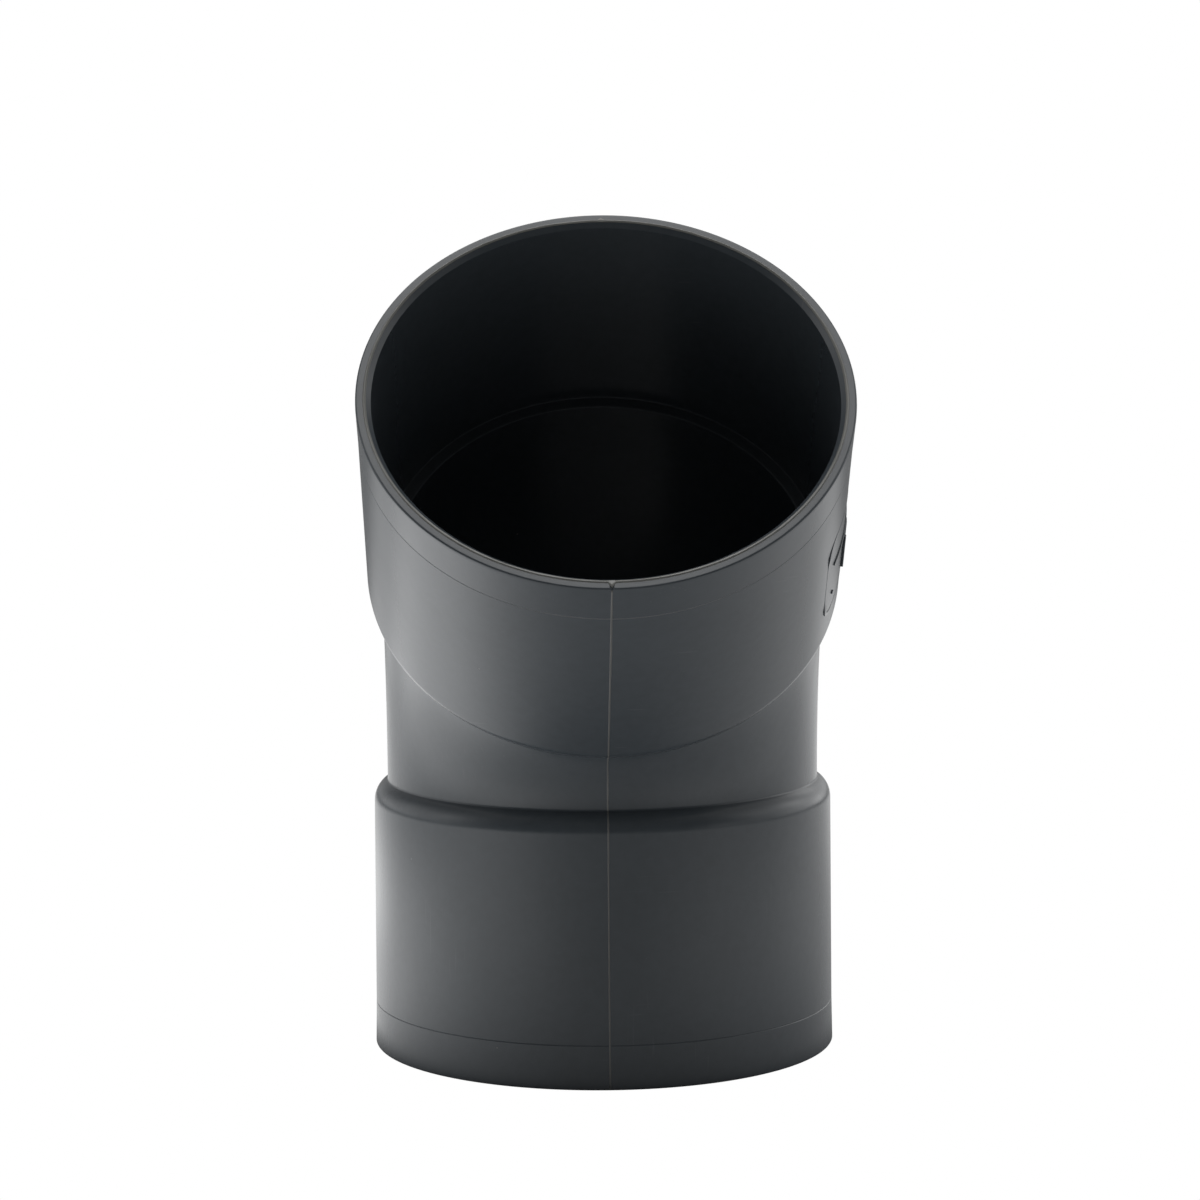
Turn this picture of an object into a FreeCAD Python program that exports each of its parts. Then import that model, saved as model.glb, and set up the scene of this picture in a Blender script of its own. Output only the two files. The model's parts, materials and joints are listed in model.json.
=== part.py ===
import FreeCAD, Part
import math
import os

# PVC-U solvent-weld elbow, 45 degrees, with a plain socket at each end, for 110 mm pipe.
#
# Frame: millimetres. The origin is the centre of the lower mouth, +Z runs up the lower
# socket's axis, and the upper socket leans towards -Y. The elbow is the same on both sides
# of the plane x = 0, apart from the raised marking on the +X side of the upper socket.
#
# The real elbow is one moulding. Here each of its zones is a solid of its own, and the
# solids meet face to face. Lower-end zones are drawn in place. The upper end is their
# mirror image in the plane that halves the bend.

# Bend
BEND_ANGLE = 45.0
BEND_RADIUS = 74.5
WALL = 3.2
LEG_OUTER_RADIUS = 55.0

# Sockets: radii, and distances measured along the axis from the mouth
BORE_RADIUS = 55.2
BORE_DEPTH = 62.8
SOCKET_OUTER_RADIUS = BORE_RADIUS + WALL
BAND_LENGTH = 11.0
BAND_INNER_END_RADIUS = 58.65
MOUTH_OUTER_RADIUS = 58.85
MOUTH_EDGE_ROUND = 0.45
LEAD_IN_WIDTH = 1.0
LEAD_IN_LENGTH = 1.1
WITNESS_GROOVE = 0.15

# Shoulder between a socket and the leg
SHOULDER_ROUND = 5.85
SHOULDER_FILLET = 0.6
SHOULDER_LENGTH = 5.8
STOP_EDGE_ROUND = 0.4

# Raised lines left by the mould
SEAM_WIDTH = 0.4
SEAM_HEIGHT = 0.15
FLASH_WIDTH = 0.8
FLASH_HEIGHT = 0.3

# Raised marking on the upper socket: a blank frame, and plain marks in place of lettering.
# Places along the socket are distances from the mouth, and places across it are distances
# from the middle of the frame.
FRAME_HEIGHT = 0.3
FRAME_NEAR = 27.0
FRAME_FAR = 55.8
FRAME_HALF_SPAN = 25.6
FRAME_CORNER = 5.0
FRAME_LINE = 1.0
RULE_PLACE = 38.0
RULE_HALF_SPAN = 21.5
RULE_WIDTH = 1.0
RULE_HEIGHT = 0.3
BAR_COUNT = 4
BAR_PITCH = 5.6
BAR_WIDTH = 2.4
BAR_NEAR = 43.0
BAR_FAR = 54.0
BAR_HEIGHT = 0.7
DOT_RADIUS = 0.5
DOT_PLACE = 49.3
DOT_ACROSS = 20.6

# Places worked out from the sizes above
LEG_BORE_RADIUS = LEG_OUTER_RADIUS - WALL
LEG_START = BORE_DEPTH + SHOULDER_LENGTH
LEAD_IN_RADIUS = BORE_RADIUS + LEAD_IN_WIDTH
HALF_ANGLE = math.radians(BEND_ANGLE / 2)
BEND_CENTRE = FreeCAD.Vector(0, -BEND_RADIUS, LEG_START)
MIDDLE_NORMAL = FreeCAD.Vector(0, -math.sin(HALF_ANGLE), math.cos(HALF_ANGLE))
X_AXIS = FreeCAD.Vector(1, 0, 0)
Z_AXIS = FreeCAD.Vector(0, 0, 1)
ORIGIN = FreeCAD.Vector(0, 0, 0)
REACH = 400.0


def at(radius, height):
    """Point of a turned outline, in the plane y = 0."""
    return FreeCAD.Vector(radius, 0, height)


def lines(*points):
    """Straight edges from point to point."""
    return [Part.LineSegment(start, end).toShape() for start, end in zip(points, points[1:])]


def arc(centre, radius, first_degrees, last_degrees):
    """Arc of a turned outline: 0 degrees points outwards and 90 degrees points up."""
    angles = (first_degrees, (first_degrees + last_degrees) / 2, last_degrees)
    points = [
        centre + at(radius * math.cos(math.radians(a)), radius * math.sin(math.radians(a)))
        for a in angles
    ]
    return Part.Arc(*points).toShape()


def turned(edges):
    """Solid made by turning a closed outline about the Z axis."""
    wire = Part.Wire(Part.__sortEdges__(edges))
    return Part.Face(wire).revolve(ORIGIN, Z_AXIS, 360)


def to_upper_end(shape):
    """Mirror image of a lower-end shape at the upper end."""
    return shape.mirror(BEND_CENTRE, MIDDLE_NORMAL)


def outer_radius(distance):
    """Outside radius of a socket at a distance from its mouth, from the two tapers."""
    if distance < BAND_LENGTH:
        share = (distance - MOUTH_EDGE_ROUND) / (BAND_LENGTH - MOUTH_EDGE_ROUND)
        return MOUTH_OUTER_RADIUS + share * (BAND_INNER_END_RADIUS - MOUTH_OUTER_RADIUS)
    share = (distance - BAND_LENGTH) / (BORE_DEPTH - BAND_LENGTH)
    return BAND_INNER_END_RADIUS + share * (SOCKET_OUTER_RADIUS - BAND_INNER_END_RADIUS)


def rim_band():
    """Last zone of a socket: flat land, lead-in chamfer, rounded edge, witness groove."""
    edge_centre = at(MOUTH_OUTER_RADIUS - MOUTH_EDGE_ROUND, MOUTH_EDGE_ROUND)
    land_end = at(MOUTH_OUTER_RADIUS - MOUTH_EDGE_ROUND, 0)
    groove_start = BAND_LENGTH - WITNESS_GROOVE
    edges = lines(
        at(MOUTH_OUTER_RADIUS, MOUTH_EDGE_ROUND),
        at(outer_radius(groove_start), groove_start),
        at(BAND_INNER_END_RADIUS - WITNESS_GROOVE, BAND_LENGTH),
        at(BORE_RADIUS, BAND_LENGTH),
        at(BORE_RADIUS, LEAD_IN_LENGTH),
        at(LEAD_IN_RADIUS, 0),
        land_end,
    )
    edges.append(arc(edge_centre, MOUTH_EDGE_ROUND, -90, 0))
    return turned(edges)


def socket_wall():
    """Slightly tapered tube between the rim band and the shoulder, with a straight bore."""
    groove_end = BAND_LENGTH + WITNESS_GROOVE
    return turned(lines(
        at(BORE_RADIUS, BAND_LENGTH),
        at(BAND_INNER_END_RADIUS - WITNESS_GROOVE, BAND_LENGTH),
        at(outer_radius(groove_end), groove_end),
        at(SOCKET_OUTER_RADIUS, BORE_DEPTH),
        at(BORE_RADIUS, BORE_DEPTH),
        at(BORE_RADIUS, BAND_LENGTH),
    ))


def shoulder_outline(growth):
    """Outside of the shoulder, from the socket wall up to the leg, moved out by growth."""
    round_radius = SHOULDER_ROUND + growth
    fillet_radius = SHOULDER_FILLET - growth
    round_centre = at(SOCKET_OUTER_RADIUS - SHOULDER_ROUND, BORE_DEPTH)
    across = LEG_OUTER_RADIUS + SHOULDER_FILLET - round_centre.x
    reach = SHOULDER_ROUND + SHOULDER_FILLET
    up = math.sqrt(reach ** 2 - across ** 2)
    fillet_centre = round_centre + at(across, up)
    turn = math.degrees(math.atan2(up, across))
    return [
        arc(round_centre, round_radius, 0, turn),
        arc(fillet_centre, fillet_radius, 180 + turn, 180),
        *lines(
            fillet_centre - at(fillet_radius, 0),
            at(LEG_OUTER_RADIUS + growth, LEG_START),
        ),
    ]


def stop_shoulder():
    """Ring that narrows the socket to the leg. Its lower face is the stop for the pipe."""
    round_centre = at(LEG_BORE_RADIUS + STOP_EDGE_ROUND, BORE_DEPTH + STOP_EDGE_ROUND)
    edges = shoulder_outline(0)
    edges += lines(
        at(LEG_OUTER_RADIUS, LEG_START),
        at(LEG_BORE_RADIUS, LEG_START),
        at(LEG_BORE_RADIUS, BORE_DEPTH + STOP_EDGE_ROUND),
    )
    edges.append(arc(round_centre, STOP_EDGE_ROUND, 180, 270))
    edges += lines(
        at(LEG_BORE_RADIUS + STOP_EDGE_ROUND, BORE_DEPTH),
        at(SOCKET_OUTER_RADIUS, BORE_DEPTH),
    )
    return turned(edges)


def bent(face):
    """Solid made by swinging a face at the start of the leg round the bend."""
    return face.revolve(BEND_CENTRE, X_AXIS, BEND_ANGLE)


def leg_disc(radius):
    """Flat disc across the start of the leg."""
    circle = Part.Circle(FreeCAD.Vector(0, 0, LEG_START), Z_AXIS, radius).toShape()
    return Part.Face(Part.Wire(circle))


def bend_tube():
    """The bent leg between the two shoulders."""
    return bent(leg_disc(LEG_OUTER_RADIUS).cut(leg_disc(LEG_BORE_RADIUS)))


def lower_envelope(growth):
    """Everything inside the outer surface of the lower end, with its radii grown."""
    edge_start = MOUTH_EDGE_ROUND
    edges = lines(
        at(0, LEG_START),
        at(0, edge_start),
        at(MOUTH_OUTER_RADIUS + growth, edge_start),
        at(BAND_INNER_END_RADIUS + growth, BAND_LENGTH),
        at(SOCKET_OUTER_RADIUS + growth, BORE_DEPTH),
    )
    edges += shoulder_outline(growth)
    edges += lines(at(LEG_OUTER_RADIUS + growth, LEG_START), at(0, LEG_START))
    return turned(edges)


def seam_strips():
    """Thin raised lines where the mould halves met: one down the front, one down the back."""
    slab = Part.makeBox(
        SEAM_WIDTH, 2 * REACH, 2 * REACH, FreeCAD.Vector(-SEAM_WIDTH / 2, -REACH, -REACH)
    )
    lower_skin = lower_envelope(SEAM_HEIGHT).cut(lower_envelope(0)).common(slab)
    bend_skin = bent(leg_disc(LEG_OUTER_RADIUS + SEAM_HEIGHT)).cut(bent(leg_disc(LEG_OUTER_RADIUS)))
    skin = lower_skin.fuse([bend_skin.common(slab), to_upper_end(lower_skin)])
    return sorted(skin.removeSplitter().Solids, key=lambda strip: strip.CenterOfMass.y)


def rim_flash():
    """Thin ridge of flash round the inner edge of the upper mouth's land."""
    outer = Part.makeCylinder(LEAD_IN_RADIUS + FLASH_WIDTH, FLASH_HEIGHT)
    inner = Part.makeCylinder(LEAD_IN_RADIUS, FLASH_HEIGHT)
    ring = outer.cut(inner)
    ring.translate(FreeCAD.Vector(0, 0, -FLASH_HEIGHT))
    return ring


def raised_on_socket(block, height):
    """The part of a block that lies in a thin skin on the outside of a socket wall."""
    near = BAND_LENGTH + WITNESS_GROOVE
    layers = [
        turned(lines(
            at(0, near),
            at(outer_radius(near) + growth, near),
            at(SOCKET_OUTER_RADIUS + growth, BORE_DEPTH),
            at(0, BORE_DEPTH),
            at(0, near),
        ))
        for growth in (0, height)
    ]
    return layers[1].cut(layers[0]).common(block)


def side_block(half_span, near, far, middle=0.0):
    """Block that reaches out along +X, between two distances from the mouth."""
    corner = FreeCAD.Vector(0, middle - half_span, near)
    return Part.makeBox(REACH, 2 * half_span, far - near, corner)


def rounded(block, corner):
    """The same block with its edges along X rounded."""
    long_edges = [edge for edge in block.Edges if abs(edge.tangentAt(0).x) > 0.5]
    return block.makeFillet(corner, long_edges)


def marking_frame():
    """Raised blank frame with rounded corners on the side of a socket."""
    outer = side_block(FRAME_HALF_SPAN, FRAME_NEAR, FRAME_FAR)
    inner = side_block(
        FRAME_HALF_SPAN - FRAME_LINE, FRAME_NEAR + FRAME_LINE, FRAME_FAR - FRAME_LINE
    )
    frame = rounded(outer, FRAME_CORNER).cut(rounded(inner, FRAME_CORNER - FRAME_LINE))
    return raised_on_socket(frame, FRAME_HEIGHT)


def marking_bars():
    """A rule, a row of bars and a dot inside the frame, in place of lettering."""
    rule = side_block(RULE_HALF_SPAN, RULE_PLACE - RULE_WIDTH / 2, RULE_PLACE + RULE_WIDTH / 2)
    dot = Part.makeCylinder(DOT_RADIUS, REACH, FreeCAD.Vector(0, -DOT_ACROSS, DOT_PLACE), X_AXIS)
    marks = [raised_on_socket(block, RULE_HEIGHT) for block in (rule, dot)]
    for number in range(BAR_COUNT):
        middle = (number - (BAR_COUNT - 1) / 2) * BAR_PITCH
        bar = side_block(BAR_WIDTH / 2, BAR_NEAR, BAR_FAR, middle)
        marks.append(raised_on_socket(bar, BAR_HEIGHT))
    return Part.makeCompound(marks)


def main():
    front_strip, rear_strip = seam_strips()
    nodes = {
        "lower_rim_band": rim_band(),
        "lower_socket_wall": socket_wall(),
        "lower_stop_shoulder": stop_shoulder(),
        "bend_tube": bend_tube(),
        "upper_stop_shoulder": to_upper_end(stop_shoulder()),
        "upper_socket_wall": to_upper_end(socket_wall()),
        "upper_rim_band": to_upper_end(rim_band()),
        "upper_rim_flash": to_upper_end(rim_flash()),
        "front_parting_line": front_strip,
        "rear_parting_line": rear_strip,
        "marking_frame": to_upper_end(marking_frame()),
        "marking_bars": to_upper_end(marking_bars()),
    }
    os.makedirs("parts", exist_ok=True)
    for name, shape in nodes.items():
        shape.exportStep(f"parts/{name}.step")


main()
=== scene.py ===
import json
import math

import bmesh
import bpy
import numpy as np
from mathutils import Matrix, Vector


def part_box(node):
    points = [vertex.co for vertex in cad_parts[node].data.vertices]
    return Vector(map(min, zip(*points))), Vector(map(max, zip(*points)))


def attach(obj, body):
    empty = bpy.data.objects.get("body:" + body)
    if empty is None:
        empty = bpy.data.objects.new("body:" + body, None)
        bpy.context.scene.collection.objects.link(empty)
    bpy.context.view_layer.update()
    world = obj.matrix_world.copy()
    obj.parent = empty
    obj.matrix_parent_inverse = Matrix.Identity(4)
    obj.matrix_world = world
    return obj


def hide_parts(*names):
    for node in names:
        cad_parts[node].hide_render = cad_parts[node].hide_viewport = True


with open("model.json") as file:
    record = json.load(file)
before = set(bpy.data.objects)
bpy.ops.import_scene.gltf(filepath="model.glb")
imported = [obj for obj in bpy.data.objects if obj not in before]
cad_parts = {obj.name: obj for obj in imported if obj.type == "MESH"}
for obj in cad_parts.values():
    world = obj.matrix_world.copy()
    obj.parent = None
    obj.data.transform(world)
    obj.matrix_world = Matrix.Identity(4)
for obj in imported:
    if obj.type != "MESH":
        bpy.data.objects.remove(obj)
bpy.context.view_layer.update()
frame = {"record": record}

MM = 0.001

# ---------------------------------------------------------------------------------------
# Sizes read from the frame, in metres
# ---------------------------------------------------------------------------------------

mounts = {mount["name"]: mount for mount in frame["record"]["mounts"]}
UPPER_AXIS = Vector(mounts["upper_socket_bore"]["axis"])
UPPER_POINT = Vector(mounts["upper_socket_bore"]["pos_m"])
BORE_RADIUS = mounts["lower_socket_bore"]["dims"]["r_mm"] * MM

MOUTH_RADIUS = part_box("lower_rim_band")[1].x
BAND_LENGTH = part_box("lower_rim_band")[1].z
BAND_END_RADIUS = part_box("lower_socket_wall")[1].x
BORE_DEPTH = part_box("lower_stop_shoulder")[0].z
SOCKET_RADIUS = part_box("lower_stop_shoulder")[1].x
LEG_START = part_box("lower_stop_shoulder")[1].z
LEG_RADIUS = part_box("bend_tube")[1].x
WALL = SOCKET_RADIUS - BORE_RADIUS
LEG_BORE_RADIUS = LEG_RADIUS - WALL

BEND_ANGLE = UPPER_AXIS.angle(Vector((0, 0, 1)))
AXES_CROSS = UPPER_POINT.z - UPPER_AXIS.z * UPPER_POINT.y / UPPER_AXIS.y
BEND_RADIUS = (AXES_CROSS - LEG_START) / math.tan(BEND_ANGLE / 2)
BEND_CENTRE = Vector((0, -BEND_RADIUS, LEG_START))
MIDDLE_NORMAL = Vector((0, -math.sin(BEND_ANGLE / 2), math.cos(BEND_ANGLE / 2)))

# Shapes too small for a box to show
LEAD_IN_WIDTH = 1.0 * MM
LEAD_IN_LENGTH = 1.1 * MM
EDGE_ROUND = 0.45 * MM
SOFT_EDGE = 0.12 * MM
GROOVE_HALF_WIDTH = 0.15 * MM
GROOVE_DEPTH = 0.1 * MM
SHOULDER_ROUND = 5.85 * MM
SHOULDER_FILLET = 0.6 * MM
STOP_ROUND = 0.4 * MM
STOP_FILLET = 0.35 * MM
LAND_RADIUS = BORE_RADIUS + LEAD_IN_WIDTH

# ---------------------------------------------------------------------------------------
# Places on the fitting. A point is given by its distance from the axis, its distance along
# the axis (or its angle round the bend), and its angle from the front of the fitting.
# ---------------------------------------------------------------------------------------


def lower_place(radius, along, angle):
    """Point on the lower socket, along metres above its mouth."""
    return Vector((radius * math.sin(angle), -radius * math.cos(angle), along))


def upper_place(radius, along, angle):
    """Mirror image of lower_place at the upper end."""
    point = lower_place(radius, along, angle)
    return point - 2 * (point - BEND_CENTRE).dot(MIDDLE_NORMAL) * MIDDLE_NORMAL


def bend_place(radius, turn, angle):
    """Point on the bent leg, turn radians round the bend from its lower end."""
    outward = Vector((0, math.cos(turn), math.sin(turn)))
    side = Vector((1, 0, 0))
    return BEND_CENTRE + outward * (BEND_RADIUS - radius * math.cos(angle)) + side * radius * math.sin(angle)


def outer_radius(along):
    """Outside radius of a socket at a distance from its mouth."""
    if along < BAND_LENGTH:
        share = (along - EDGE_ROUND) / (BAND_LENGTH - EDGE_ROUND)
        return MOUTH_RADIUS + share * (BAND_END_RADIUS - MOUTH_RADIUS)
    share = (along - BAND_LENGTH) / (BORE_DEPTH - BAND_LENGTH)
    return BAND_END_RADIUS + share * (SOCKET_RADIUS - BAND_END_RADIUS)


# ---------------------------------------------------------------------------------------
# Outlines: a closed outline is a list of runs, smooth within a run and sharp between runs
# ---------------------------------------------------------------------------------------


def line(start, end, steps=1):
    """Straight run of points."""
    return [
        (start[0] + (end[0] - start[0]) * i / steps, start[1] + (end[1] - start[1]) * i / steps)
        for i in range(steps + 1)
    ]


def arc(centre, radius, first, last, steps=8):
    """Round run of points: 0 degrees points away from the axis, 90 degrees along it."""
    angles = [math.radians(first + (last - first) * i / steps) for i in range(steps + 1)]
    return [(centre[0] + radius * math.cos(a), centre[1] + radius * math.sin(a)) for a in angles]


def joined(*parts):
    """One smooth run made of several, with shared end points kept once."""
    run = list(parts[0])
    for part in parts[1:]:
        run += part[1:]
    return run


def rim_runs():
    """Rim band: land, rounded edge, tapered outside, half of the witness groove, bore, lead-in."""
    edge = arc((MOUTH_RADIUS - EDGE_ROUND, EDGE_ROUND), EDGE_ROUND, -90, 0)
    groove_start = BAND_LENGTH - GROOVE_HALF_WIDTH
    groove_bottom = (BAND_END_RADIUS - GROOVE_DEPTH, BAND_LENGTH)
    land = line((LAND_RADIUS + SOFT_EDGE, 0), edge[0], 10)
    outside = line(edge[-1], (outer_radius(groove_start), groove_start), 12)
    lead_in_end = (BORE_RADIUS, LEAD_IN_LENGTH)
    lead_in_start = (LAND_RADIUS, SOFT_EDGE)
    return [
        joined(land, edge, outside),
        line(outside[-1], groove_bottom, 2),
        line(groove_bottom, (BORE_RADIUS, BAND_LENGTH)),
        line((BORE_RADIUS, BAND_LENGTH), lead_in_end, 6),
        joined(line(lead_in_end, lead_in_start, 4), line(lead_in_start, land[0], 2)),
    ]


def wall_runs():
    """Socket wall between the witness groove and the shoulder."""
    groove_end = BAND_LENGTH + GROOVE_HALF_WIDTH
    groove_bottom = (BAND_END_RADIUS - GROOVE_DEPTH, BAND_LENGTH)
    outside_start = (outer_radius(groove_end), groove_end)
    outside_end = (SOCKET_RADIUS, BORE_DEPTH)
    fillet_centre = (BORE_RADIUS - STOP_FILLET, BORE_DEPTH - STOP_FILLET)
    fillet = arc(fillet_centre, STOP_FILLET, 90, 0, 6)
    return [
        line(groove_bottom, outside_start, 2),
        line(outside_start, outside_end, 24),
        line(outside_end, fillet[0]),
        joined(fillet, line(fillet[-1], (BORE_RADIUS, BAND_LENGTH), 24)),
        line((BORE_RADIUS, BAND_LENGTH), groove_bottom),
    ]


def shoulder_outside():
    """Outside of the shoulder: a large round, a small fillet, then the leg."""
    round_centre = (SOCKET_RADIUS - SHOULDER_ROUND, BORE_DEPTH)
    across = LEG_RADIUS + SHOULDER_FILLET - round_centre[0]
    up = math.sqrt((SHOULDER_ROUND + SHOULDER_FILLET) ** 2 - across ** 2)
    fillet_centre = (round_centre[0] + across, round_centre[1] + up)
    turn = math.degrees(math.atan2(up, across))
    fillet = arc(fillet_centre, SHOULDER_FILLET, 180 + turn, 180, 8)
    return joined(
        arc(round_centre, SHOULDER_ROUND, 0, turn, 24),
        fillet,
        line(fillet[-1], (LEG_RADIUS, LEG_START)),
    )


def shoulder_runs():
    """Ring that narrows the socket to the leg, with the pipe's stop on the inside."""
    stop_centre = (LEG_BORE_RADIUS + STOP_ROUND, BORE_DEPTH + STOP_ROUND)
    stop_edge = arc(stop_centre, STOP_ROUND, 180, 270, 6)
    outside = shoulder_outside()
    return [
        outside,
        line(outside[-1], (LEG_BORE_RADIUS, LEG_START)),
        joined(
            line((LEG_BORE_RADIUS, LEG_START), stop_edge[0], 4),
            stop_edge,
            line(stop_edge[-1], (BORE_RADIUS - STOP_FILLET, BORE_DEPTH), 3),
        ),
        line((BORE_RADIUS - STOP_FILLET, BORE_DEPTH), (BORE_RADIUS, BORE_DEPTH)),
        line((BORE_RADIUS, BORE_DEPTH), outside[0], 2),
    ]


def bend_runs():
    """Bent leg: its second coordinate is the angle round the bend."""
    steps = 36
    end = BEND_ANGLE
    return [
        line((LEG_RADIUS, 0), (LEG_RADIUS, end), steps),
        line((LEG_RADIUS, end), (LEG_BORE_RADIUS, end)),
        line((LEG_BORE_RADIUS, end), (LEG_BORE_RADIUS, 0), steps),
        line((LEG_BORE_RADIUS, 0), (LEG_RADIUS, 0)),
    ]


# ---------------------------------------------------------------------------------------
# Meshes
# ---------------------------------------------------------------------------------------


def finished(name, bm, node, *materials):
    """Turns a bmesh into a piece that stands for a CAD node."""
    bmesh.ops.recalc_face_normals(bm, faces=bm.faces)
    for face in bm.faces:
        face.smooth = True
    mesh = bpy.data.meshes.new(name)
    bm.to_mesh(mesh)
    bm.free()
    for material in materials:
        mesh.materials.append(material)
    piece = bpy.data.objects.new(name, mesh)
    bpy.context.scene.collection.objects.link(piece)
    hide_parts(node)
    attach(piece, "root")
    return piece


def around(count):
    """Angles of a full turn, from the front."""
    return [2 * math.pi * i / count for i in range(count)]


def turned(name, node, runs, place, angles, materials, shaped=None, highlighted_run=None):
    """Piece made by turning a closed outline. shaped may move each point before it is placed.
    The run with the given number has the second material, a lighter tone that paints a highlight on it.
    """
    bm = bmesh.new()
    outline = [point for run in runs for point in run[:-1]]
    corners = [sum(len(run) - 1 for run in runs[:number]) for number in range(len(runs))]
    own = [number for number, run in enumerate(runs) for _ in run[1:]]
    rings = []
    for radius, along in outline:
        points = [(radius, along, angle) for angle in angles]
        if shaped:
            points = [shaped(*point) for point in points]
        rings.append([bm.verts.new(place(*point)) for point in points])
    count = len(angles)
    for ring, after, number in zip(rings, rings[1:] + rings[:1], own):
        for i in range(count):
            j = (i + 1) % count
            face = bm.faces.new((ring[i], ring[j], after[j], after[i]))
            face.material_index = int(number == highlighted_run)
    for corner in corners:
        ring = rings[corner]
        for i in range(count):
            bm.edges.get((ring[i], ring[(i + 1) % count])).smooth = False
    return finished(name, bm, node, *materials)


def swept(bm, sections, closed=False):
    """Skin over a list of sections, each a closed loop of points. An open sweep gets end caps."""
    loops = [[bm.verts.new(point) for point in section] for section in sections]
    pairs = list(zip(loops, loops[1:]))
    if closed:
        pairs.append((loops[-1], loops[0]))
    for loop, after in pairs:
        for i in range(len(loop)):
            j = (i + 1) % len(loop)
            bm.faces.new((loop[i], loop[j], after[j], after[i]))
    if not closed:
        bm.faces.new(loops[0])
        bm.faces.new(loops[-1])


# ---------------------------------------------------------------------------------------
# Small uneven shapes that moulding leaves
# ---------------------------------------------------------------------------------------


def ripple(angle, seed):
    """Smooth uneven value between about -1 and 1 round a full turn."""
    return sum(
        math.sin(k * angle + seed * (k + 1.7)) / share
        for k, share in ((2, 3.0), (5, 3.4), (11, 4.2), (23, 5.5), (41, 7.0))
    )


def from_front(angle):
    """Signed angle from the front, between -pi and pi."""
    return (angle + math.pi) % (2 * math.pi) - math.pi


def refined_angles(angles, centre, half_span, fine):
    """The same angles of a full turn with finer ones close to a centre angle."""
    extra = [centre + half_span * (i / fine - 1) for i in range(2 * fine + 1)]
    kept = [a for a in angles if abs(from_front(a - centre)) > half_span * 1.05]
    return sorted((a % (2 * math.pi)) for a in kept + extra)


NICK_HALF_WIDTH = 0.55 * MM
NICK_DEPTH = 0.3 * MM
NICK_START = 0.9 * MM
NICK_RAMP = 0.6 * MM
NICK_REACH = 1.6 * MM
FLASH_WIDTH = 0.8 * MM
FLASH_HEIGHT = 0.3 * MM
# Outer side, rounded crest and longer inner slope, as shares of the half width and of the height
FLASH_OUTLINE = (
    (1.0, 0.0), (0.84, 0.34), (0.68, 0.62), (0.52, 0.83), (0.36, 0.96), (0.2, 1.0), (0.04, 0.97),
    (-0.15, 0.87), (-0.4, 0.68), (-0.7, 0.4), (-1.0, 0.1)
)
FLASH_SINK = 0.04 * MM
FLAP_HALF_WIDTH = 0.85 * MM
FLAP_LENGTH = 1.35 * MM


def nicked_rim(radius, along, angle):
    """Rim with a small nick across the land where the mould halves meet at the front."""
    off = abs(from_front(angle)) * radius
    inward = min(1.0, max(0.0, (radius - LAND_RADIUS - NICK_START) / NICK_RAMP))
    near_land = max(0.0, 1.0 - along / NICK_REACH)
    depth = NICK_DEPTH * max(0.0, 1.0 - off / NICK_HALF_WIDTH) * near_land * inward
    return radius, along + depth, angle


def flash_runs():
    """Ridge on the inner edge of the upper land, steep outside and sloping inside."""
    middle = LAND_RADIUS + SOFT_EDGE / 2 + FLASH_WIDTH / 2
    half = FLASH_WIDTH / 2
    top = [(middle + half * across, -FLASH_HEIGHT * rise) for across, rise in FLASH_OUTLINE]
    return [
        top,
        [top[-1], (middle - half, FLASH_SINK), (middle + half, FLASH_SINK), top[0]],
    ]


def flap(angle):
    """Share of a small V-shaped flap of flash at the front, and half of one at the back."""
    front = abs(from_front(angle)) * LAND_RADIUS / FLAP_HALF_WIDTH
    back = abs(from_front(angle - math.pi)) * LAND_RADIUS / FLAP_HALF_WIDTH
    return max(0.0, 1.0 - front) + 0.5 * max(0.0, 1.0 - back)


def uneven_flash(radius, along, angle):
    """Flash whose height and place vary, with a flap at each parting line."""
    share = (radius - LAND_RADIUS - SOFT_EDGE / 2) / FLASH_WIDTH
    height = 0.8 + 0.3 * ripple(angle, 3.0) - 0.3 * share * flap(angle)
    moved = radius + 0.04 * MM * ripple(angle, 8.0) + share * FLAP_LENGTH * flap(angle)
    return moved, along * height if along < 0 else along, angle


SEAM_WIDTH = 0.42 * MM
SEAM_HEIGHT = 0.11 * MM
SEAM_SINK = 0.06 * MM


def seam_path():
    """Places, radii and positions along the outside, from the lower mouth to the upper."""
    lower = [(outer_radius(d), d) for d in np.linspace(EDGE_ROUND, BORE_DEPTH, 60)[:-1]]
    lower += shoulder_outside()
    path = [(lower_place, *point) for point in lower[:-1]]
    path += [(bend_place, LEG_RADIUS, turn) for turn in np.linspace(0, BEND_ANGLE, 90)]
    path += [(upper_place, *point) for point in reversed(lower[:-1])]
    return path


def seam(name, node, front_angle, seed, material):
    """Low rounded ridge that follows the outside of the whole fitting in its middle plane."""
    bm = bmesh.new()
    sections = []
    for number, (place, radius, along) in enumerate(seam_path()):
        wave = ripple(number * 0.021, seed)
        half = SEAM_WIDTH * (0.5 + 0.08 * wave)
        height = SEAM_HEIGHT * (1 + 0.25 * ripple(number * 0.037, seed + 2))
        drift = 0.05 * MM * wave
        crown = [
            (drift + half * math.cos(a), height * math.sin(a))
            for a in (math.pi * i / 6 for i in range(7))
        ]
        loop = [(half + drift, -SEAM_SINK), *crown, (drift - half, -SEAM_SINK)]
        sections.append([
            place(radius + rise, along, front_angle + across / radius) for across, rise in loop
        ])
    swept(bm, sections)
    return finished(name, bm, node, material)


# ---------------------------------------------------------------------------------------
# Raised marking on the side of the upper socket
# ---------------------------------------------------------------------------------------

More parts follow.
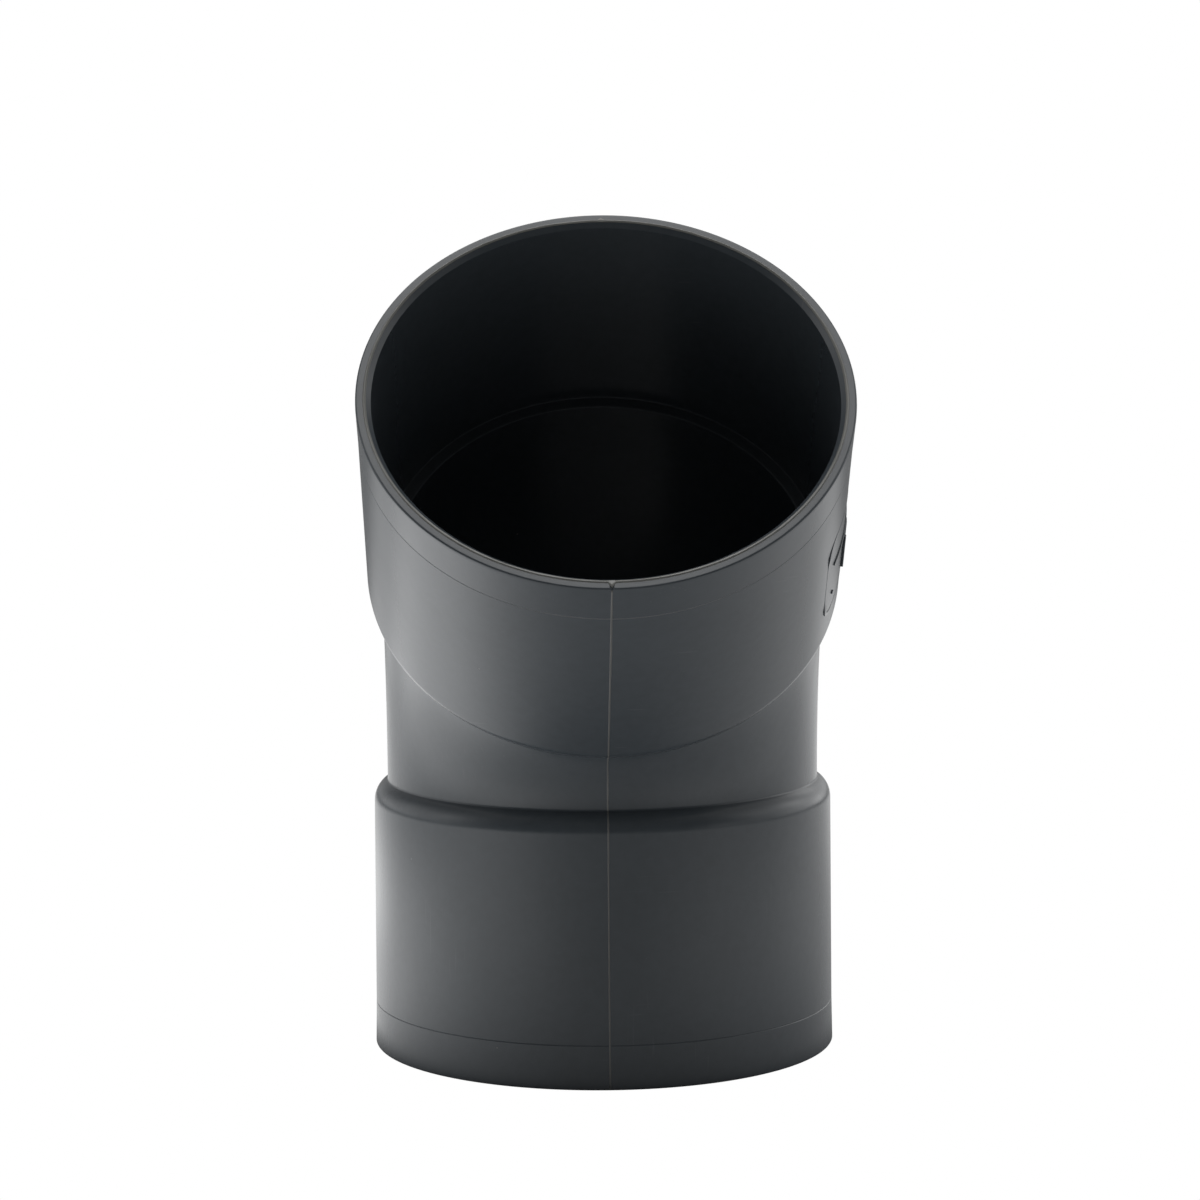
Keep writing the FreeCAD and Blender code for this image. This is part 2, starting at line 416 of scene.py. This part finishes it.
FRAME_HEIGHT = 0.3 * MM
FRAME_NEAR = 27.0 * MM
FRAME_FAR = 55.8 * MM
FRAME_HALF_SPAN = 25.6 * MM
FRAME_CORNER = 5.0 * MM
FRAME_LINE = 1.0 * MM
MARK_ROUND = 0.15 * MM
MARK_SINK = 0.1 * MM
MARK_SPACING = 1.5 * MM
RULE_PLACE = 38.0 * MM
RULE_HALF_SPAN = 21.5 * MM
RULE_WIDTH = 1.0 * MM
RULE_HEIGHT = 0.3 * MM
BAR_COUNT = 4
BAR_PITCH = 5.6 * MM
BAR_WIDTH = 2.4 * MM
BAR_NEAR = 43.0 * MM
BAR_FAR = 54.0 * MM
BAR_HEIGHT = 0.7 * MM
DOT_RADIUS = 0.5 * MM
DOT_PLACE = 49.3 * MM
DOT_ACROSS = 20.6 * MM


def on_side(across, along, height):
    """Point above the +X side of the upper socket; across runs towards the front."""
    radius = outer_radius(along)
    return upper_place(radius + height, along, math.acos(across / radius))


def raised_edge(height):
    """Distance in from a raised mark's outline, and height, from its foot to its top."""
    bend = [math.radians(15 * i) for i in range(7)]
    return [(0.0, -MARK_SINK)] + [
        (MARK_ROUND * (1 - math.cos(a)), height - MARK_ROUND + MARK_ROUND * math.sin(a)) for a in bend
    ]


def rounded_box(half_across, half_along, corner, steps=10):
    """Points and outward directions of a rounded box outline about its centre."""
    points = []
    for quarter in range(4):
        sign_a = 1 if quarter in (0, 3) else -1
        sign_b = 1 if quarter in (0, 1) else -1
        centre = Vector((sign_a * (half_across - corner), sign_b * (half_along - corner)))
        for i in range(steps + 1):
            angle = math.pi / 2 * (quarter + i / steps)
            out = Vector((math.cos(angle), math.sin(angle)))
            points.append((centre + out * corner, out))
    return points


def densified(outline, spacing):
    """The same closed outline with points added along its straight sides."""
    dense = []
    for (point, out), (after, _) in zip(outline, outline[1:] + outline[:1]):
        count = max(1, math.ceil((after - point).length / spacing))
        dense += [(point.lerp(after, i / count), out) for i in range(count)]
    return dense


def frame_relief(across, along):
    """Share of the full relief: most at the ends of the two sides furthest from the middle."""
    side = (min(1.0, abs(across) / FRAME_HALF_SPAN)) ** 14
    to_end = 2 * abs(along - (FRAME_FAR + FRAME_NEAR) / 2) / (FRAME_FAR - FRAME_NEAR)
    return 0.15 + 0.85 * side * min(1.0, (to_end / 0.66) ** 6)


def marking_frame(material):
    """Raised outline with rounded corners."""
    half_along = (FRAME_FAR - FRAME_NEAR) / 2
    middle = (FRAME_FAR + FRAME_NEAR) / 2
    outline = densified(rounded_box(FRAME_HALF_SPAN, half_along, FRAME_CORNER), MARK_SPACING)
    edge = raised_edge(FRAME_HEIGHT)
    inner_edge = [(FRAME_LINE - inset, height) for inset, height in reversed(edge)]
    bm = bmesh.new()
    sections = []
    for point, out in outline:
        relief = frame_relief(point.x, middle + point.y)
        loop = [(point - out * inset, height * relief) for inset, height in edge + inner_edge]
        sections.append([on_side(p.x, middle + p.y, height) for p, height in loop])
    swept(bm, sections, closed=True)
    return finished("marking_frame_relief", bm, "marking_frame", material)


def raised_mark(bm, across, along, half_across, half_along, top):
    """Solid mark with rounded ends and edges, and a flat top."""
    corner = min(half_across, half_along)
    rings = []
    for inset, height in raised_edge(top) + [(corner, top)]:
        inset = min(inset, corner)
        box = rounded_box(half_across, half_along, corner)
        ring = [
            on_side(across + p.x, along + p.y, height)
            for p in (point - out * inset for point, out in densified(box, MARK_SPACING))
        ]
        rings.append([bm.verts.new(point) for point in ring])
    for ring, after in zip(rings, rings[1:]):
        for i in range(len(ring)):
            j = (i + 1) % len(ring)
            bm.faces.new((ring[i], ring[j], after[j], after[i]))
    bm.faces.new(rings[0])
    bmesh.ops.remove_doubles(bm, verts=rings[-1], dist=0.002 * MM)


def marking_bars(material):
    """Rule, bars and dot, in place of lettering."""
    bm = bmesh.new()
    raised_mark(bm, 0, RULE_PLACE, RULE_HALF_SPAN, RULE_WIDTH / 2, RULE_HEIGHT)
    for number in range(BAR_COUNT):
        across = (number - (BAR_COUNT - 1) / 2) * BAR_PITCH
        half_along = (BAR_FAR - BAR_NEAR) / 2
        raised_mark(bm, across, (BAR_NEAR + BAR_FAR) / 2, BAR_WIDTH / 2, half_along, BAR_HEIGHT)
    raised_mark(bm, DOT_ACROSS, DOT_PLACE, DOT_RADIUS, DOT_RADIUS, RULE_HEIGHT)
    return finished("marking_bars_relief", bm, "marking_bars", material)


# ---------------------------------------------------------------------------------------
# Material
# ---------------------------------------------------------------------------------------


class Wiring:
    """Short names for the node calls that the materials and the world use."""

    def __init__(self, owner, coordinates="Object"):
        owner.use_nodes = True
        self.nodes = owner.node_tree.nodes
        self.links = owner.node_tree.links
        self.place = self.nodes.new("ShaderNodeTexCoord").outputs[coordinates]

    def stretched(self, stretch):
        """Object coordinates scaled along each axis."""
        mapping = self.nodes.new("ShaderNodeMapping")
        mapping.inputs["Scale"].default_value = stretch
        self.links.new(self.place, mapping.inputs["Vector"])
        return mapping.outputs["Vector"]

    def noise(self, scale, detail, stretch=(1, 1, 1), warp=0.0):
        """Cloudy value from 0 to 1."""
        texture = self.nodes.new("ShaderNodeTexNoise")
        texture.inputs["Scale"].default_value = scale
        texture.inputs["Detail"].default_value = detail
        texture.inputs["Distortion"].default_value = warp
        self.links.new(self.stretched(stretch), texture.inputs["Vector"])
        return texture.outputs["Fac"]

    def cells(self, scale):
        """Distance to the nearest cell's middle, and that cell's random colour."""
        texture = self.nodes.new("ShaderNodeTexVoronoi")
        texture.inputs["Scale"].default_value = scale
        self.links.new(self.place, texture.inputs["Vector"])
        return texture

    def ranged(self, value, start, end, low, high):
        """Value remapped from start..end to low..high, and held at both ends."""
        node = self.nodes.new("ShaderNodeMapRange")
        for name, number in zip(("From Min", "From Max", "To Min", "To Max"), (start, end, low, high)):
            node.inputs[name].default_value = number
        self.links.new(value, node.inputs["Value"])
        return node.outputs["Result"]

    def maths(self, operation, first, second):
        """Sum, product or other mathematics of two values."""
        node = self.nodes.new("ShaderNodeMath")
        node.operation = operation
        for value, socket in zip((first, second), node.inputs):
            if isinstance(value, (int, float)):
                socket.default_value = value
            else:
                self.links.new(value, socket)
        return node.outputs["Value"]

    def blend(self, amount, first, second):
        """Colour between two others. Each may be a colour or another node's output."""
        node = self.nodes.new("ShaderNodeMix")
        node.data_type = "RGBA"
        self.links.new(amount, node.inputs["Factor"])
        for value, name in ((first, "A"), (second, "B")):
            if isinstance(value, tuple):
                node.inputs[name].default_value = (*value, 1)
            else:
                self.links.new(value, node.inputs[name])
        return node.outputs["Result"]

    def vector(self, operation, constant):
        """Number worked out from the coordinates and a constant vector."""
        node = self.nodes.new("ShaderNodeVectorMath")
        node.operation = operation
        node.inputs[1].default_value = constant
        self.links.new(self.place, node.inputs[0])
        return node.outputs["Value"]

    def seen_or_lit(self, seen, lit, output):
        """The camera sees the first shader, and all other light comes from the second."""
        path = self.nodes.new("ShaderNodeLightPath")
        mix = self.nodes.new("ShaderNodeMixShader")
        self.links.new(path.outputs["Is Camera Ray"], mix.inputs[0])
        self.links.new(lit.outputs[0], mix.inputs[1])
        self.links.new(seen.outputs[0], mix.inputs[2])
        self.links.new(mix.outputs[0], self.nodes[output].inputs["Surface"])

    def bump(self, height, strength, distance, under=None):
        """Normal bent by a height, on top of another normal."""
        node = self.nodes.new("ShaderNodeBump")
        node.inputs["Strength"].default_value = strength
        node.inputs["Distance"].default_value = distance
        self.links.new(height, node.inputs["Height"])
        if under:
            self.links.new(under, node.inputs["Normal"])
        return node.outputs["Normal"]


def scratches(wires, scale, stretch, seed_scale):
    """Sparse thin streaks along the axis the noise is stretched on: 1 in a streak, 0 elsewhere."""
    thin = wires.ranged(wires.noise(scale, 1.0, stretch), 0.66, 0.74, 0.0, 1.0)
    few = wires.ranged(wires.noise(seed_scale, 1.0), 0.62, 0.7, 0.0, 1.0)
    return wires.maths("MULTIPLY", thin, few)


def specks(wires, scale, share):
    """Sparse tiny dots of dust: 1 in a dot and 0 elsewhere."""
    texture = wires.cells(scale)
    dot = wires.ranged(texture.outputs["Distance"], 0.05, 0.11, 1.0, 0.0)
    separate = wires.nodes.new("ShaderNodeSeparateColor")
    wires.links.new(texture.outputs["Color"], separate.inputs["Color"])
    chosen = wires.maths("GREATER_THAN", separate.outputs[0], 1.0 - share)
    return wires.maths("MULTIPLY", dot, chosen)


SATIN_BELOW = 0.025
SATIN_ABOVE = 0.035


def pvc(name, tone, roughness, wear=1.0):
    """Moulded grey PVC: cloudy colour, flow streaks, fine grain, light scratches and dust."""
    material = bpy.data.materials.new(name)
    wires = Wiring(material)
    shader = wires.nodes["Principled BSDF"]
    shader.inputs["IOR"].default_value = 1.54

    clouds = wires.noise(26.0, 3.0, warp=0.4)
    mottle = wires.noise(420.0, 2.0)
    flow = wires.noise(55.0, 4.0, (1.0, 1.0, 0.2), warp=0.6)
    grain = wires.noise(2600.0, 2.0)
    waves = wires.noise(70.0, 1.0)
    scuffs = wires.maths("MAXIMUM", scratches(wires, 1500.0, (1.0, 1.0, 0.04), 45.0),
                         scratches(wires, 1500.0, (0.05, 0.05, 1.0), 60.0))
    dust = specks(wires, 330.0, 0.012 * wear)

    dark, light = (tuple(channel * share for channel in tone) for share in (0.93, 1.07))
    base = wires.blend(wires.ranged(clouds, 0.3, 0.7, 0.0, 1.0), dark, light)
    spotted = wires.blend(wires.ranged(mottle, 0.35, 0.65, 0.0, 0.12), base, (0.10, 0.115, 0.13))
    marked = wires.blend(wires.maths("MULTIPLY", scuffs, 0.1 * wear), spotted, (0.2, 0.205, 0.21))
    dusty = wires.blend(wires.maths("MULTIPLY", dust, 0.6), marked, (0.3, 0.3, 0.3))
    wires.links.new(dusty, shader.inputs["Base Color"])

    satin = wires.ranged(flow, 0.25, 0.75, roughness - SATIN_BELOW, roughness + SATIN_ABOVE)
    rough = wires.maths("MAXIMUM", satin, wires.maths("MULTIPLY", dust, 0.7))
    wires.links.new(rough, shader.inputs["Roughness"])

    surface = wires.bump(waves, 0.6, 0.00003)
    surface = wires.bump(flow, 0.25, 0.00002, surface)
    surface = wires.bump(grain, 0.25, 0.000006, surface)
    wires.links.new(surface, shader.inputs["Normal"])
    return material


# The outside and the rim stay below a roughness of 0.27 with SATIN_ABOVE added. Where one surface
# crosses that, the denoised render shows sharp-edged patches.
DARK_GREY = (0.068, 0.080, 0.091)
outside = pvc("pvc_outside", DARK_GREY, 0.235)
rim = pvc("pvc_rim", DARK_GREY, 0.235, 1.2)
# Seam ridges: twice the body's tone, a painted highlight along the seam lines.
ridge = pvc("pvc_seam_painted_highlight", (0.15, 0.15, 0.145), 0.3)
# Flash ridge: a light warm tone, a painted highlight for the bright creamy line along its lit top.
flash = pvc("pvc_flash_painted_highlight", (0.21, 0.21, 0.195), 0.2)
# Witness groove faces: a lighter, rougher tone, a painted highlight for the light line along the groove.
painted_groove_highlight = pvc("pvc_groove_painted_highlight", (0.17, 0.18, 0.19), 0.45)

# ---------------------------------------------------------------------------------------
# The fitting
# ---------------------------------------------------------------------------------------

ROUND = around(720)
FINE_ROUND = refined_angles(ROUND, 0.0, math.radians(1.5), 24)
FLASH_ROUND = refined_angles(FINE_ROUND, math.pi, math.radians(1.5), 24)

for end, place in (("lower", lower_place), ("upper", upper_place)):
    turned(f"{end}_shoulder_skin", f"{end}_stop_shoulder", shoulder_runs(), place, ROUND, [outside])
turned("lower_socket_wall_skin", "lower_socket_wall", wall_runs(), lower_place, ROUND, [outside])
# The witness groove's faces on the upper socket take the lighter tone, a painted highlight.
turned("upper_socket_wall_skin", "upper_socket_wall", wall_runs(), upper_place, ROUND, [outside, painted_groove_highlight],
       highlighted_run=0)
turned("lower_rim_skin", "lower_rim_band", rim_runs(), lower_place, ROUND, [outside])
turned("upper_rim_skin", "upper_rim_band", rim_runs(), upper_place, FINE_ROUND, [rim, painted_groove_highlight], nicked_rim, 1)
turned("bend_skin", "bend_tube", bend_runs(), bend_place, ROUND, [outside])
# The flash ridge uses the light warm tone that paints its highlight.
turned("upper_flash_ridge", "upper_rim_flash", flash_runs(), upper_place, FLASH_ROUND, [flash], uneven_flash)
# The seam ridges use the lighter tone that paints a highlight along them.
seam("front_seam_ridge", "front_parting_line", 0.0, 1.0, ridge)
seam("rear_seam_ridge", "rear_parting_line", math.pi, 5.0, ridge)
marking_frame(outside)
marking_bars(outside)

# ---------------------------------------------------------------------------------------
# Floor, light and camera
# ---------------------------------------------------------------------------------------


# Soft glows of the tent: azimuth and elevation of the middle in degrees, sharpness, strength.
# Azimuth 0 is behind the fitting and 90 is on its +X side.
TENT_GLOWS = (
    (0, 88, 14, 2.4),
    (0, 58, 14, 1.5),
    (-90, 30, 14, 0.38),
    (45, 30, 14, 0.3),
    (90, 30, 14, 0.57),
    (-90, 5, 14, 0.49),
    (-60, 5, 14, 0.70),
    (-30, 5, 14, 0.14),
    (0, 5, 14, 0.17),
    (30, 5, 14, 0.23),
    (60, 5, 14, 1.1),
    (-90, 24, 70, 0.43),
    (-60, 24, 70, 0.27),
    (0, 24, 70, 1.09),
    (30, 24, 70, 1.02),
    (60, 24, 70, 0.99),
    (90, 24, 70, 0.23),
    (-60, 4, 70, 0.14),
    (-40, 4, 70, 0.5),
    (-20, 4, 70, 0.25),
    (20, 4, 70, 0.55),
    (40, 4, 70, 1.12),
    (80, 4, 70, 0.28),
    (100, 4, 70, 0.36),
    (120, 4, 70, 0.50),
    (180, 50, 3, 0.07),
)

# Soft glows on the floor: place, spread and strength
FLOOR_GLOWS = (
    (-0.12, 0.0, 0.05, 0.62),
    (-0.25, 0.0, 0.09, 1.1),
    (-0.177, -0.177, 0.09, 0.45),
    (-0.177, 0.177, 0.09, 1.06),
    (0.177, -0.177, 0.09, 0.29),
    (0.25, 0.0, 0.09, 0.39),
    (-0.476, -0.275, 0.2, 1.07),
    (-0.476, 0.275, 0.2, 0.56),
    (0.0, -0.55, 0.2, 0.13),
    (0.0, 0.55, 0.2, 1.18),
    (0.476, -0.275, 0.2, 0.36),
    (0.476, 0.275, 0.2, 0.69),
)
FLOOR_TONE = 0.3
FLOOR_GAP = 0.2 * MM


def towards(azimuth, elevation):
    """Direction from the fitting."""
    a, e = math.radians(azimuth), math.radians(elevation)
    return Vector((math.sin(a) * math.cos(e), math.cos(a) * math.cos(e), math.sin(e)))


def studio_tent():
    """Smooth white tent round the fitting, brighter in some directions."""
    world = bpy.data.worlds.new("studio")
    bpy.context.scene.world = world
    wires = Wiring(world, "Generated")
    total = 0.0
    for azimuth, elevation, sharpness, strength in TENT_GLOWS:
        facing = wires.maths("MAXIMUM", wires.vector("DOT_PRODUCT", towards(azimuth, elevation)), 0.0)
        glow = wires.maths("POWER", facing, sharpness)
        total = wires.maths("ADD", wires.maths("MULTIPLY", glow, strength), total)
    tent = wires.nodes["Background"]
    tent.inputs["Color"].default_value = (1, 1, 1, 1)
    wires.links.new(total, tent.inputs["Strength"])
    backdrop = wires.nodes.new("ShaderNodeBackground")
    backdrop.inputs["Color"].default_value = (1, 1, 1, 1)
    wires.seen_or_lit(backdrop, tent, "World Output")


def studio_floor():
    """Wide white floor under the fitting, lit softly from below in places."""
    bm = bmesh.new()
    bmesh.ops.create_grid(bm, x_segments=8, y_segments=8, size=6.0)
    mesh = bpy.data.meshes.new("floor")
    bm.to_mesh(mesh)
    bm.free()
    material = bpy.data.materials.new("floor_white")
    wires = Wiring(material)
    total = 0.0
    for x, y, spread, strength in FLOOR_GLOWS:
        distance = wires.vector("DISTANCE", (x, y, 0))
        fall = wires.maths("MULTIPLY", wires.maths("MULTIPLY", distance, distance), -0.5 / spread ** 2)
        glow = wires.maths("MULTIPLY", wires.maths("EXPONENT", fall, 0.0), strength)
        total = wires.maths("ADD", glow, total)
    # The glow drops to 0.12 under the fitting and comes back by 1.2 mouth radii: painted shade of the
    # fitting on the floor.
    shade_under_fitting = wires.ranged(wires.vector("DISTANCE", (0, 0, 0)), MOUTH_RADIUS, 1.2 * MOUTH_RADIUS, 0.12, 1.0)
    total = wires.maths("MULTIPLY", total, shade_under_fitting)
    shader = wires.nodes["Principled BSDF"]
    shader.inputs["Base Color"].default_value = (FLOOR_TONE, FLOOR_TONE, FLOOR_TONE, 1)
    shader.inputs["Roughness"].default_value = 0.9
    shader.inputs["Emission Color"].default_value = (1, 1, 1, 1)
    wires.links.new(total, shader.inputs["Emission Strength"])
    seen = wires.nodes.new("ShaderNodeEmission")
    wires.seen_or_lit(seen, shader, "Material Output")
    mesh.materials.append(material)
    floor = bpy.data.objects.new("floor", mesh)
    floor.location.z = -FLOOR_GAP
    bpy.context.scene.collection.objects.link(floor)


CAMERA_PLACE = (-0.0209, -0.9261, 0.2164)
CAMERA_HEADING = 1.277
CAMERA_PITCH = 6.348
CAMERA_ROLL = -0.45
CAMERA_LENS = 109.5


def add_camera():
    """Camera at the front of the fitting, a little above it, looking slightly down."""
    heading, pitch, roll = (math.radians(v) for v in (CAMERA_HEADING, CAMERA_PITCH, CAMERA_ROLL))
    ahead = Vector((
        math.sin(heading) * math.cos(pitch), math.cos(heading) * math.cos(pitch), -math.sin(pitch)
    ))
    level = ahead.cross(Vector((0, 0, 1))).normalized()
    upright = level.cross(ahead)
    right = level * math.cos(roll) + upright * math.sin(roll)
    up = upright * math.cos(roll) - level * math.sin(roll)
    data = bpy.data.cameras.new("camera")
    data.sensor_width = 36.0
    data.lens = CAMERA_LENS
    camera = bpy.data.objects.new("camera", data)
    turn = Matrix((right, up, -ahead)).transposed().to_4x4()
    camera.matrix_world = Matrix.Translation(CAMERA_PLACE) @ turn
    bpy.context.scene.collection.objects.link(camera)
    bpy.context.scene.camera = camera


studio_floor()
studio_tent()
add_camera()
bpy.context.scene.view_settings.view_transform = "Standard"
